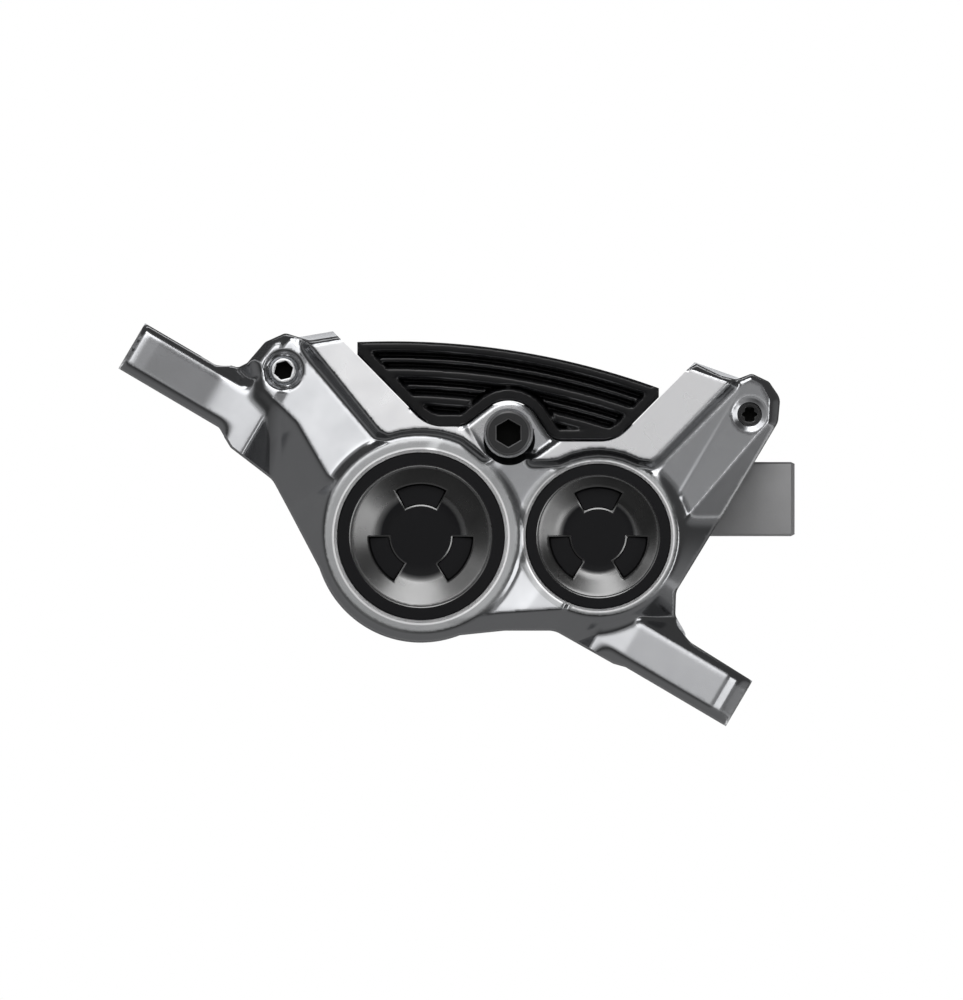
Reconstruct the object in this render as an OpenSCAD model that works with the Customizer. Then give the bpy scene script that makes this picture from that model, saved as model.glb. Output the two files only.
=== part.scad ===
// Bicycle disc brake caliper: one-piece body, four pistons and two finned pads.
// The origin lies on the mount face, midway between the two mounting bolts.
// X runs along the ears, Z away from the wheel's hub and Y towards the wheel.

/* [Mount] */
// Distance between the two mounting bolts
bolt_spacing = 74.2; // [73.8:0.1:75]
// Width of a bolt slot
bolt_slot_w = 6.5; // [6.2:0.1:7]
// Length of a bolt slot, across the ears
bolt_slot_len = 10.6; // [9:0.2:11.4]
// Length over both ears
ear_span = 94; // [93:0.5:98]
// Thickness of an ear
ear_t = 7; // [6.4:0.1:7.6]
// Depth of an ear, along Y
ear_depth = 15; // [14:0.2:16]
// Width of the bevel round an ear
ear_bevel = 0.9; // [0.4:0.1:1.2]

/* [Bores] */
// Distance between the two bores of one side
bore_spacing = 23.65; // [23.2:0.05:24.2]
// Angle between the line through the bores and the mount face
bore_tilt = 30.5; // [30:0.1:31]
// X of the point midway between the bores
bore_mid_x = 9.3; // [9:0.1:9.8]
// Z of the point midway between the bores
bore_mid_z = 7.2; // [6.9:0.1:7.6]
// Radial clearance between a piston and its bore
piston_gap = 0.03; // [0.02:0.01:0.06]
// Diameter of a fluid passage
passage_d = 2; // [1.4:0.1:2.4]

/* [Pistons] */
// Diameter of the large pistons
large_piston_d = 18; // [17.4:0.1:18.2]
// Diameter of the small pistons
small_piston_d = 16; // [15.4:0.1:16.2]
// Length of a piston
piston_len = 8.5; // [8:0.1:9]
// Wall of a hollow piston
piston_wall = 2.2; // [1.6:0.1:3]
// Width of a piston seal
seal_w = 2; // [1.6:0.1:2.2]
// Height of a piston seal, from the bore outwards
seal_h = 1.5; // [1.2:0.1:1.6]

/* [Disc and pads] */
// Thickness of the brake disc
disc_t = 1.8; // [1.6:0.1:2]
// Y of the middle of the brake disc
disc_y = 15; // [14.6:0.1:15.4]
// Radius of the brake disc
disc_r = 90; // [89:0.5:91]
// Gap between the disc and new pads
pad_gap = 0.35; // [0.2:0.05:0.5]
// Thickness of the friction material
friction_t = 2.2; // [1.8:0.1:2.4]
// Height of the friction material, along the disc's radius
friction_h = 18; // [16:0.5:18.5]
// Thickness of a pad's steel plate
plate_t = 1.8; // [1.6:0.1:2]
// Length of a pad's steel plate
plate_len = 41.6; // [40.6:0.2:42]
// Clearance between the ends of a pad and the body
pad_side_gap = 0.3; // [0.2:0.05:0.4]

/* [Cooling fins] */
// Thickness of the finned plate behind its ribs
fin_base_t = 1.4; // [1:0.1:1.8]
// Height of a rib
rib_h = 3.2; // [2:0.2:4]
// Width of a wide rib
wide_rib_w = 1.3; // [1:0.1:1.6]
// Width of a thin rib
thin_rib_w = 0.5; // [0.4:0.1:0.7]
// Distance from one wide rib to the next
rib_pitch = 3.5; // [3.3:0.1:3.8]
// Clearance between the fins and the window in the body
fin_gap = 0.3; // [0.2:0.05:0.5]
// Width of the flat border round the ribs
fin_border = 1.6; // [1.2:0.1:2]

/* [Bore caps] */
// Radius of the large cap's flange
large_cap_r = 11.2; // [11:0.05:11.3]
// Radius of the small cap's flange
small_cap_r = 9.7; // [9.6:0.05:9.8]
// Thickness of a cap's flange
cap_flange_t = 1.8; // [1.4:0.1:2.2]
// Depth of the dish in a cap
cap_dish = 1.5; // [0.8:0.1:2]
// Depth of a cap's spanner slots
spanner_slot_depth = 1.2; // [0.6:0.1:1.6]
// Thickness of a cap's O-ring
cap_oring_d = 1.2; // [1:0.1:1.4]

/* [Pad axle and screws] */
// Diameter of the pad axle
axle_d = 4; // [3.6:0.1:4.2]
// Diameter of the axle's head
axle_head_d = 6.2; // [5.8:0.1:6.4]
// Width across flats of the axle's hex socket
axle_hex = 3; // [2.5:0.1:3.2]
// Diameter of the bleed screw
bleed_d = 4; // [3.6:0.1:4.2]
// Width across flats of the bleed screw's hex socket
bleed_hex = 2.1; // [2:0.1:2.4]
// Diameter of the passage plug screw
plug_d = 3.2; // [3:0.1:3.6]

/* [Hose port] */
// Side of the square hose port block
port_block = 9.9; // [9.4:0.1:10.4]
// Length of the hose port block
port_block_len = 12.6; // [12:0.2:13.6]
// Diameter of the hose port's bore, cut for a fine 8 mm thread
port_d = 7.2; // [6.4:0.1:7.6]
// Depth of the hose port's thread
port_depth = 8.5; // [7:0.5:9]

/* [Hidden] */
$fn = 96;
fit_gap = 0.03;
eps = 0.01;

// Depths along Y
pocket_half = disc_t / 2 + pad_gap + friction_t + plate_t + 0.25;
pocket_y0 = disc_y - pocket_half;
pocket_y1 = disc_y + pocket_half;
ring_y = -9.5;
small_ring_y = -8.8;
band_y = -10.5;
web_y = -9;
lug_y = -8;
skirt_y = -1;
inner_face_y = 33.4;
cap_inner_y = -1.5;
inner_bore_y = 30.4;
seal_y = pocket_y0 - 2.4;
plate_y = pocket_y0 + 0.25;
fin_front_y = plate_y - fin_base_t - rib_h;
piston_face_y = plate_y - 0.05;
chamber_y = (cap_inner_y + piston_face_y - piston_len) / 2;
large_cap_y = ring_y + 0.2;
small_cap_y = small_ring_y + 0.1;
large_seat_y = large_cap_y + cap_flange_t;
small_seat_y = small_cap_y + cap_flange_t;
axle_front_y = band_y + 0.3;
axle_seat_y = axle_front_y + 3.3;
bleed_seat_y = lug_y + 5;
plug_seat_y = lug_y + 5;
stop_w = 2.4;
stop_len = 13;
spring_t = 0.3;
spring_top = 17;
clip_y = inner_face_y + 0.4;
clip_t = 0.5;
spigot_r = 2.5;
spigot_len = 3.4;
passage_y0 = chamber_y;
passage_y1 = (2 * disc_y - piston_face_y + piston_len + inner_bore_y) / 2;

// Places in the bore frame: U along the line of the bores, W across it
bore_u = bore_spacing / 2;
axle_at = [-0.15, 13.75];
bleed_at = [-30.15, 22.1];
plug_at = [32.0, 16.25];
pocket_u = plate_len / 2 + pad_side_gap;
hub_at = [-5.2, 10.55 - disc_r];
fin_arc_at = [-15.6, -77.9];
fin_arc_r = 103.9;
boss_r = 4.1;
inner_large_r = 13;
inner_small_r = 11.8;
port_land = 1.775;
ring_r = 14.2;
small_ring_r = 11.4;
port_w = 4.95;
port_seat_u = bore_u + inner_small_r + port_land;
fin_side = [-20.3, 19.9];
large_recess_r = large_cap_r + 0.35;
small_recess_r = small_cap_r + 0.25;
large_thread_r = large_cap_r - 0.6;
small_thread_r = small_cap_r - 0.5;

// Paths: a point is [x, z] or [x, z, corner radius]
function flat(p) = [p[0], p[1]];
function unit(v) = v / norm(v);
function arc(c, r, a0, a1, n = 10) =
    [for (i = [0:n]) c + r * [cos(a0 + (a1 - a0) * i / n), sin(a0 + (a1 - a0) * i / n)]];
function corner(a, b, c, r, n) =
    let (u = unit(a - b), v = unit(c - b), half = acos(u * v) / 2, o = b + unit(u + v) * r / sin(half),
        p = b + u * r / tan(half) - o, q = b + v * r / tan(half) - o,
        a0 = atan2(p[1], p[0]), turn = (atan2(q[1], q[0]) - a0 + 900) % 360 - 180)
    arc(o, r, a0, a0 + turn, n);
function rounded(path, n = 5) =
    let (k = len(path))
    [for (i = [0:k - 1])
        let (p = path[i], before = flat(path[(i + k - 1) % k]), after = flat(path[(i + 1) % k]))
        each (len(p) < 3 ? [p] : corner(before, flat(p), after, p[2], n))];
// The path moved outwards by d; it runs anticlockwise as the viewer of the outer side sees it
function grow(path, d) =
    let (k = len(path))
    [for (i = [0:k - 1])
        let (a = unit(path[i] - path[(i + k - 1) % k]), b = unit(path[(i + 1) % k] - path[i]),
            na = [a[1], -a[0]], nb = [b[1], -b[0]])
        path[i] + (na + nb) * d / (1 + na * nb)];

// Solids along Y
module slab(y0, y1) translate([0, y1, 0]) rotate([90, 0, 0]) linear_extrude(y1 - y0) children();
module rod(r, y0, y1) translate([0, y0, 0]) rotate([-90, 0, 0]) cylinder(r = r, h = y1 - y0);
module turned(profile) rotate([-90, 0, 0]) rotate_extrude() polygon(profile);
module tube(r0, r1, y0, y1) difference() {
    rod(r1, y0, y1);
    rod(r0, y0 - 1, y1 + 1);
}
// A loft's ends are fans from the first point, or on a long band the strip between its two edges
function fan(k) = [for (i = [1:k - 2]) [0, i, i + 1]];
function strip(k) = [for (i = [0:k / 2 - 2]) each [[i, i + 1, k - 1 - i], [i + 1, k - 2 - i, k - 1 - i]]];
module loft(front, back, y0, y1, band = false) {
    k = len(front);
    ends = band ? strip(k) : fan(k);
    polyhedron(
        points = concat([for (p = front) [p[0], y0, p[1]]], [for (p = back) [p[0], y1, p[1]]]),
        faces = concat([for (t = ends) [t[2], t[1], t[0]]], [for (t = ends) [t[0] + k, t[1] + k, t[2] + k]],
            [for (i = [0:k - 1]) [i, (i + 1) % k, k + (i + 1) % k]],
            [for (i = [0:k - 1]) [i, k + (i + 1) % k, k + i]]));
}
module raised(path, bevel, y_top, y_bevel, y_back, band = false) {
    loft(path, grow(path, bevel), y_top, y_bevel, band);
    slab(y_bevel - eps, y_back) polygon(grow(path, bevel));
}
module hex_socket(width, y0, y1) translate([0, y0, 0]) rotate([-90, 0, 0])
    cylinder(d = width / cos(30), h = y1 - y0, $fn = 6);
module at(p) translate([p[0], 0, p[1]]) children();
module bore_frame() translate([bore_mid_x, 0, bore_mid_z]) rotate([0, -bore_tilt, 0]) children();
module large_bore() at([-bore_u, 0]) children();
module small_bore() at([bore_u, 0]) children();
module port_frame() translate([0, passage_y1, port_w]) rotate([0, 0, -90]) children();
module inner_side() translate([0, 2 * disc_y, 0]) mirror([0, 1, 0]) children();

// Outlines in the bore frame
core_path = rounded([[-22.9, 26.7], [-26.7, 26.1, 1.5], [-29.9, 27.1, 1], [-32.6, 25.9, 1.5], [-35, 23.1, 0.8],
    [-36.2, 22.5, 0.8], [-38.2, 13.4, 1], [-37.2, 11.8, 1], [-31.6, 7.5, 3], [-29.4, 3.4],
    each arc([-bore_u, 0], ring_r - 0.2, 200, 290),
    [-0.7, -12.6, 4], [6, -12.6, 3], [13.8, -17, 1], [16, -17.2, 1], [24.2, -14.2, 1.5], [22.1, -10.6, 1.5],
    [22.2, -7.4, 2], [26.4, -0.5, 1], [33.2, 10.8, 1.5], [35.8, 15.2, 2], [36.1, 18.4, 2], [34.6, 20.6, 1], [32.3, 21.7, 0.8],
    [30.2, 20.9, 0.8], [28.2, 21.4, 1], [24.9, 23], [23.9, 22.4]]);
inner_path = rounded([[-22.9, 25.5], [-31.5, 25.5, 3], [-33, 20, 4], [-28.5, 6, 6],
    each arc([-bore_u, 0], inner_large_r + 0.2, 195, 285), each arc([bore_u, 0], inner_small_r + 0.2, 260, 345),
    [port_seat_u, port_w - port_block / 2 - 1.4], [port_seat_u, port_w + port_block / 2 + 2.1, 2], [plug_at[0] + 2.6, plug_at[1] - 3.25, 2],
    [plug_at[0] + 2.6, plug_at[1] + 3.25, 3], [24.9, 21.5]]);
window_path = rounded([[-30.8, 34.7], [-11.05, 14.6, 5], [-5.9, 14.6, 2.3],
    each arc(axle_at, boss_r + 0.1, 125, 35, 8), [5.6, 12.6, 2.3], [14.2, 12.6, 5], [36, 34.7]], 8);
left_band = [[-26.5, 25.5], [-18.2, 15.2], [-17.3, 14.1], each arc([-bore_u, 0], 14.3, 108, 67, 6), [-3.2, 10.8],
    [-5.6, 14.7], each arc([-bore_u, 0], 16.8, 72, 95, 6), [-13.6, 18], [-14.2, 18.6], [-20.7, 26.5]];
right_band = [[3.2, 10.2], [5.2, 10.2], each arc([bore_u, 0], 11.7, 118, 62, 6), [18.9, 10.1], [19.9, 10.8],
    [29.3, 20.5], [22.5, 22.9], [15.8, 16.4], [15.4, 15], each arc([bore_u, 0], 14.2, 76, 107, 6),
    [6.9, 12.9], [6.2, 12.35]];
left_lug_front = [[-18.6, 13], [-29.2, 25.9], [-31.3, 25.3], [-33.1, 23], [-32.4, 19.6], [-30.6, 17.6],
    [-28.2, 15.2], [-24.2, 8.2], [-22, 7]];
left_lug_back = [[-18.6, 13], [-30, 27], [-32.5, 25.9], [-34.5, 23.4], [-34.6, 18], [-34.2, 13.6],
    [-31.2, 7.4], [-27.4, -0.8], [-22, 2]];
right_lug_front = [[19.8, 8.6], [23.4, 2.4], [31.6, 12], [34.4, 15.2], [34.6, 18.2], [33.6, 20.2],
    [32.2, 20.9], [30.6, 20.3]];
right_lug_back = [[17.8, 6], [25.5, -2.2], [33.2, 10.8], [35.8, 15.2], [36.1, 18.4], [34.6, 20.6],
    [32.3, 21.7], [30.2, 20.9]];
web_path = [[-1.7, -10.4], [7, -9.8], [10, -4], [10, 4], [6, 8.6], [0, 11.2], [-5.7, 13], [-10, 8],
    [-12, -6], [-8.2, -11.5]];
plate_path = rounded([[-plate_len / 2, -9.3, 1.5], [plate_len / 2, -9.3, 1.5], [plate_len / 2, 11.5, 1],
    [13, 17.5, 2], [-13, 17.5, 2], [-plate_len / 2, 11.5, 1]]);
friction_path = rounded([[-19.4, -8.9, 1.5], [19.4, -8.9, 1.5], [19.4, 11, 3], [-19.4, 11, 3]]);

module ear(side) {
    end = ear_span / 2;
    root = 29;
    b = ear_bevel;
    y = ear_depth / 2;
    front = [[root, b], [end - b, b], [end - b, ear_t - b], [root + 2, ear_t - b]];
    back = [[root - 2, 0], [end, 0], [end, ear_t], [root, ear_t]];
    deep = [[root - 9, 0], [end, 0], [end, ear_t], [root - 5, ear_t]];
    mirror([side < 0 ? 1 : 0, 0, 0]) {
        loft(front, back, -y, b - y);
        loft(back, deep, b - y - eps, -y / 4);
        slab(-y / 4 - eps, y - b + eps) polygon(deep);
        loft(back, front, y - b, y);
    }
}
module bolt_slot(side) {
    inset = (bolt_slot_len - bolt_slot_w) / 2;
    translate([side * bolt_spacing / 2, 0, -1]) linear_extrude(ear_t + 2) {
        translate([0, inset]) circle(d = bolt_slot_w);
        translate([0, -inset]) circle(d = bolt_slot_w);
        square([bolt_slot_w, 2 * inset], center = true);
    }
}
module drill(p, q, y) {
    run = q - p;
    translate([p[0], y, p[1]]) rotate([0, 90 - atan2(run[1], run[0]), 0]) cylinder(d = passage_d, h = norm(run));
}
module outer_half() {
    slab(skirt_y, pocket_y0) polygon(core_path);
    large_bore() turned([[0, pocket_y0], [ring_r, pocket_y0], [ring_r, -2], [13.1, ring_y + 0.9],
        [12.9, ring_y + 0.2], [12.6, ring_y], [0, ring_y]]);
    small_bore() turned([[0, 0], [small_ring_r, 0], [small_ring_r, lug_y + 0.6], [small_recess_r + 0.5, lug_y + 0.6],
        [small_recess_r + 0.5, small_ring_y + 0.2], [small_recess_r + 0.35, small_ring_y], [0, small_ring_y]]);
    difference() {
        raised(web_path, 1.8, web_y, web_y + 3, pocket_y0);
        small_bore() rod(small_recess_r + 1.1, web_y - 1, lug_y + 0.6);
    }
    loft(left_lug_front, left_lug_back, lug_y, skirt_y + eps);
    loft(right_lug_front, right_lug_back, lug_y, skirt_y + eps);
    raised(left_band, 1.3, band_y, lug_y + 0.2, pocket_y0, true);
    raised(right_band, 1, band_y, lug_y + 0.4, pocket_y0, true);
    at(axle_at) turned([[0, 0], [boss_r, 0], [boss_r, band_y + 1.9], [axle_head_d / 2 + 0.5, band_y + 0.2],
        [axle_head_d / 2 + 0.3, band_y], [0, band_y]]);
}
module columns() slab(pocket_y0 - eps, pocket_y1 + eps) difference() {
    polygon(core_path);
    translate(hub_at) circle(r = disc_r + 1.5);
    translate([-pocket_u, -40]) square([2 * pocket_u, 90]);
}
module inner_boss(r) turned([[0, pocket_y1], [r, pocket_y1], [r, inner_face_y - 1], [r - 1, inner_face_y],
    [0, inner_face_y]]);
module inner_half() {
    slab(pocket_y1, inner_face_y - 1.4) polygon(inner_path);
    large_bore() inner_boss(inner_large_r);
    small_bore() inner_boss(inner_small_r);
    at(axle_at) inner_boss(boss_r);
}
module pad_stop() slab(pocket_y0 - eps, plate_y + plate_t) intersection() {
    polygon(core_path);
    for (side = [-1, 1]) translate([side * (pocket_u + stop_w / 2), 0]) square([stop_w, stop_len], center = true);
}
module passages() {
    large_at = [-bore_u, 0];
    small_at = [bore_u, 0];
    for (y = [passage_y0, passage_y1]) {
        drill(large_at, small_at, y);
        drill(bleed_at, large_at, y);
        drill(plug_at, small_at, y);
    }
    at(bleed_at) rod(passage_d / 2, 0, passage_y1 + passage_d / 2);
    at(plug_at) rod(passage_d / 2, 0, passage_y1 + passage_d / 2);
    drill([port_seat_u, port_w], [bore_u + 4, port_w], passage_y1);
}
module piston_bores(r, thread_r, recess_r, seat_y) {
    rod(r, cap_inner_y - 1, inner_bore_y);
    rod(thread_r + fit_gap, seat_y - 1, cap_inner_y);
    rod(recess_r, band_y - 1, seat_y);
    for (y = [seal_y, 2 * disc_y - seal_y - seal_w]) rod(r + seal_h, y, y + seal_w);
}

module caliper_body() color("silver") {
    difference() {
        union() {
            for (side = [-1, 1]) ear(side);
            bore_frame() {
                outer_half();
                columns();
                pad_stop();
                inner_side() pad_stop();
                inner_half();
            }
        }
        for (side = [-1, 1]) bolt_slot(side);
        bore_frame() {
            slab(band_y - 1, inner_face_y + 1) polygon(window_path);
            large_bore() {
                piston_bores(large_piston_d / 2 + piston_gap, large_thread_r, large_recess_r, large_seat_y);
                turned([[0, ring_y - 1], [large_recess_r + 1.3, ring_y - 1], [large_recess_r, ring_y + 0.5], [0, ring_y + 0.5]]);
            }
            small_bore() piston_bores(small_piston_d / 2 + piston_gap, small_thread_r, small_recess_r, small_seat_y);
            passages();
            at(axle_at) {
                rod(axle_head_d / 2 + 0.1, band_y - 1, axle_seat_y);
                rod(axle_d / 2 + fit_gap, band_y, inner_face_y + 1);
            }
            at(bleed_at) {
                turned([[0, lug_y - 1], [3.4, lug_y - 1], [bleed_d / 2 + 0.2, lug_y + 0.6], [0, lug_y + 0.6]]);
                rod(bleed_d / 2 + fit_gap, lug_y, bleed_seat_y);
                rod(passage_d / 2, bleed_seat_y - 1, 1);
            }
            at(plug_at) {
                turned([[0, lug_y - 1], [3, lug_y - 1], [plug_d / 2 + 0.1, lug_y + 0.9], [0, lug_y + 0.9]]);
                rod(plug_d / 2 + fit_gap, lug_y, plug_seat_y);
                rod(passage_d / 2, plug_seat_y - 1, 1);
            }
            port_frame() rod(spigot_r + fit_gap, port_seat_u - spigot_len - 0.3, port_seat_u + 1);
        }
    }
}

// Caps: a flange with a dish and three spanner slots over a threaded plug
module cap(flange_r, thread_r, dish_r, disc_r0, face_y) {
    seat = face_y + cap_flange_t;
    slot_r0 = disc_r0 - 1.1;
    slot_r1 = disc_r0 + 1.7;
    difference() {
        turned([[0, cap_inner_y], [thread_r, cap_inner_y], [thread_r, seat], [flange_r, seat], [flange_r, face_y + 0.2],
            [flange_r - 0.2, face_y], [dish_r, face_y], [dish_r - 0.3, face_y + 0.3],
            [disc_r0 + 0.3, face_y + cap_dish], [disc_r0, face_y + cap_dish - 0.3], [0, face_y + cap_dish - 0.3]]);
        tube(thread_r - cap_oring_d, thread_r + 1, seat + 0.4, seat + 0.4 + cap_oring_d * 1.25);
        for (turn = [90, 210, 330]) intersection() {
            tube(slot_r0, slot_r1, face_y, face_y + cap_dish + spanner_slot_depth);
            slab(face_y - 1, 0) polygon([[0, 0], for (a = [-29.5, 0, 29.5]) 20 * [cos(turn + a), sin(turn + a)]]);
        }
    }
}
module cap_oring(thread_r, seat) {
    y = seat + 0.4 + cap_oring_d * 0.625;
    translate([0, y, 0]) rotate([-90, 0, 0]) rotate_extrude()
        translate([thread_r - cap_oring_d / 2, 0]) circle(d = cap_oring_d - 0.02, $fn = 32);
}
module large_bore_cap() color("dimgray") bore_frame() large_bore()
    cap(large_cap_r, large_thread_r, large_cap_r - 1.9, 5.3, large_cap_y);
module small_bore_cap() color("dimgray") bore_frame() small_bore()
    cap(small_cap_r, small_thread_r, small_cap_r - 1.7, 4.9, small_cap_y);
module large_cap_oring() color("black") bore_frame() large_bore() cap_oring(large_thread_r, large_seat_y);
module small_cap_oring() color("black") bore_frame() small_bore() cap_oring(small_thread_r, small_seat_y);

// Pistons: hollow cups whose open rim bears on the pad
module piston(d) difference() {
    turned([[0, piston_face_y - piston_len], [d / 2 - 0.4, piston_face_y - piston_len],
        [d / 2, piston_face_y - piston_len + 0.4], [d / 2, piston_face_y - 0.2], [d / 2 - 0.2, piston_face_y],
        [0, piston_face_y]]);
    rod(d / 2 - piston_wall, piston_face_y - piston_len + 2.5, piston_face_y + 1);
}
module outer_large_piston() color("whitesmoke") bore_frame() large_bore() piston(large_piston_d);
module outer_small_piston() color("whitesmoke") bore_frame() small_bore() piston(small_piston_d);
module inner_large_piston() color("whitesmoke") bore_frame() inner_side() large_bore() piston(large_piston_d);
module inner_small_piston() color("whitesmoke") bore_frame() inner_side() small_bore() piston(small_piston_d);
module piston_seal(d) tube(d / 2 + piston_gap, d / 2 + piston_gap + seal_h - 0.02, seal_y + 0.02, seal_y + seal_w - 0.02);
module outer_large_seal() color("black") bore_frame() large_bore() piston_seal(large_piston_d);
module outer_small_seal() color("black") bore_frame() small_bore() piston_seal(small_piston_d);
module inner_large_seal() color("black") bore_frame() inner_side() large_bore() piston_seal(large_piston_d);
module inner_small_seal() color("black") bore_frame() inner_side() small_bore() piston_seal(small_piston_d);

// Pads: steel plate, friction block on the disc side and a finned radiator on the outer side
module axle_hole(y0, y1) at(axle_at) rod(axle_d / 2 + 0.2, y0, y1);
module pad_plate() difference() {
    slab(plate_y, plate_y + plate_t) polygon(plate_path);
    axle_hole(plate_y - 1, plate_y + plate_t + 1);
}
module pad_friction() slab(plate_y + plate_t, plate_y + plate_t + friction_t) intersection() {
    difference() {
        translate(hub_at) circle(r = disc_r - 0.5);
        translate(hub_at) circle(r = disc_r - 0.5 - friction_h);
    }
    polygon(friction_path);
}
module fin_field(r0, r1) difference() {
    translate(fin_arc_at) circle(r = r1, $fn = 360);
    translate(fin_arc_at) circle(r = r0, $fn = 360);
}
module ribs() for (i = [0:3]) {
    r = fin_arc_r - i * rib_pitch;
    mid = r - (wide_rib_w + rib_pitch) / 2;
    fin_field(r - wide_rib_w, r);
    fin_field(mid - thin_rib_w / 2, mid + thin_rib_w / 2);
}
module fin_outline(inset) intersection() {
    polygon(grow(window_path, -fin_gap - inset));
    translate([fin_side[0] + inset, 0]) square([fin_side[1] - fin_side[0] - 2 * inset, 40]);
}
module pad_radiator() difference() {
    slab(fin_front_y, plate_y) intersection() {
        fin_outline(0);
        translate(fin_arc_at) circle(r = fin_arc_r, $fn = 360);
    }
    slab(fin_front_y - 1, plate_y - fin_base_t) difference() {
        fin_outline(fin_border);
        difference() {
            ribs();
            translate(axle_at) circle(r = boss_r + fin_border + 0.8);
        }
    }
}
module outer_pad_plate() color("gray") bore_frame() pad_plate();
module inner_pad_plate() color("gray") bore_frame() inner_side() pad_plate();
module outer_pad_friction() color("#4a3a30") bore_frame() pad_friction();
module inner_pad_friction() color("#4a3a30") bore_frame() inner_side() pad_friction();
module outer_pad_radiator() color("#202020") bore_frame() pad_radiator();
module inner_pad_radiator() color("#202020") bore_frame() inner_side() pad_radiator();

// Leaf spring astride the pad axle, which pushes the two pads apart
module spring_leaf(y) slab(y, y + spring_t) difference() {
    polygon(rounded([[-15.5, 10.5, 0.8], [15, 10.5, 0.8], [13.5, 12.4, 0.8], [3.6, 12.6, 0.5], [3.6, spring_top],
        [-3.9, spring_top], [-3.9, 12.6, 0.5], [-14, 12.4, 0.8]]));
    translate(axle_at) circle(r = axle_d / 2 + 0.3);
}
module pad_return_spring() color("silver") bore_frame() {
    y = plate_y + plate_t + 0.05;
    spring_leaf(y);
    inner_side() spring_leaf(y);
    slab(y, 2 * disc_y - y) translate([-3.9, spring_top - spring_t]) square([7.5, spring_t]);
}

// Axle with a hex head on the outer side and a clip on the inner end
module pad_axle() color("dimgray") bore_frame() at(axle_at) difference() {
    r = axle_d / 2;
    turned([[0, axle_front_y], [axle_head_d / 2 - 0.4, axle_front_y], [axle_head_d / 2, axle_front_y + 0.4],
        [axle_head_d / 2, axle_seat_y], [r, axle_seat_y], [r, clip_y], [r - 0.5, clip_y],
        [r - 0.5, clip_y + clip_t + 0.06], [r, clip_y + clip_t + 0.06], [r, clip_y + 1.6], [r - 0.5, clip_y + 2.1],
        [0, clip_y + 2.1]]);
    hex_socket(axle_hex, axle_front_y - 1, axle_front_y + 2.4);
}
module pad_axle_clip() color("silver") bore_frame() at(axle_at) difference() {
    tube(axle_d / 2 - 0.47, axle_d / 2 + 1.7, clip_y + 0.03, clip_y + 0.03 + clip_t);
    translate([0, clip_y, 2.5]) cube([2.4, 3, 5], center = true);
}

// Screws: their shanks close the passages and carry an O-ring
module shank(r, front, seat) difference() {
    turned([[0, front], [r - 0.35, front], [r, front + 0.35], [r, seat - 0.05], [0, seat - 0.05]]);
    tube(r - 0.6, r + 1, seat - 1.9, seat - 0.9);
}
module shank_oring(r, seat) translate([0, seat - 1.4, 0]) rotate([-90, 0, 0]) rotate_extrude()
    translate([r - 0.3, 0]) circle(r = 0.29, $fn = 32);
module bleed_screw() color("silver") bore_frame() at(bleed_at) difference() {
    shank(bleed_d / 2, lug_y + 0.5, bleed_seat_y);
    hex_socket(bleed_hex, lug_y, lug_y + 2.4);
}
module bleed_screw_oring() color("black") bore_frame() at(bleed_at) shank_oring(bleed_d / 2, bleed_seat_y);
module passage_plug_screw() color("#181818") bore_frame() at(plug_at) difference() {
    shank(plug_d / 2, lug_y + 0.8, plug_seat_y);
    slab(lug_y, lug_y + 2.4) {
        circle(r = 0.8);
        for (i = [0:5]) rotate(i * 60) translate([0.8, 0]) circle(r = 0.25, $fn = 24);
    }
}
module plug_screw_oring() color("black") bore_frame() at(plug_at) shank_oring(plug_d / 2, plug_seat_y);

// Hose port: a square block whose spigot enters the inner half beside the small bore
module hose_port_block() color("gray") bore_frame() port_frame() {
    end = port_seat_u + port_block_len;
    h = port_block / 2;
    b = 0.5;
    side = rounded([[-h, -h, b], [h, -h, b], [h, h, b], [-h, h, b]], 3);
    difference() {
        union() {
            slab(port_seat_u, end - b + eps) polygon(side);
            mirror([0, 1, 0]) loft(grow(side, -b / 2), side, -end, b - end);
            rod(spigot_r, port_seat_u - spigot_len, port_seat_u + 1);
        }
        rod(port_d / 2, end - port_depth, end + 1);
        rod(passage_d / 2, 0, end);
        tube(spigot_r - 0.7, spigot_r + 0.5, port_seat_u - 1.6, port_seat_u - 0.5);
    }
}
module hose_port_oring() color("black") bore_frame() port_frame() translate([0, port_seat_u - 1.05, 0])
    rotate([-90, 0, 0]) rotate_extrude() translate([spigot_r - 0.34, 0]) circle(r = 0.34, $fn = 32);

caliper_body();
large_bore_cap();
small_bore_cap();
large_cap_oring();
small_cap_oring();
outer_large_piston();
outer_small_piston();
inner_large_piston();
inner_small_piston();
outer_large_seal();
outer_small_seal();
inner_large_seal();
inner_small_seal();
outer_pad_plate();
outer_pad_friction();
outer_pad_radiator();
inner_pad_plate();
inner_pad_friction();
inner_pad_radiator();
pad_return_spring();
pad_axle();
pad_axle_clip();
bleed_screw();
bleed_screw_oring();
passage_plug_screw();
plug_screw_oring();
hose_port_block();
hose_port_oring();
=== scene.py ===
"""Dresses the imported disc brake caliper: a forged and machined silver body round the CAD frame, black bore
caps, finned pads, screws and the hose port, on a plain studio floor. Lengths are in millimetres until a piece
is placed."""

import math

import bpy
import numpy as np
from bpy.props import FloatProperty, PointerProperty, StringProperty
from mathutils import Matrix, Vector
from mathutils.geometry import delaunay_2d_cdt


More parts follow.
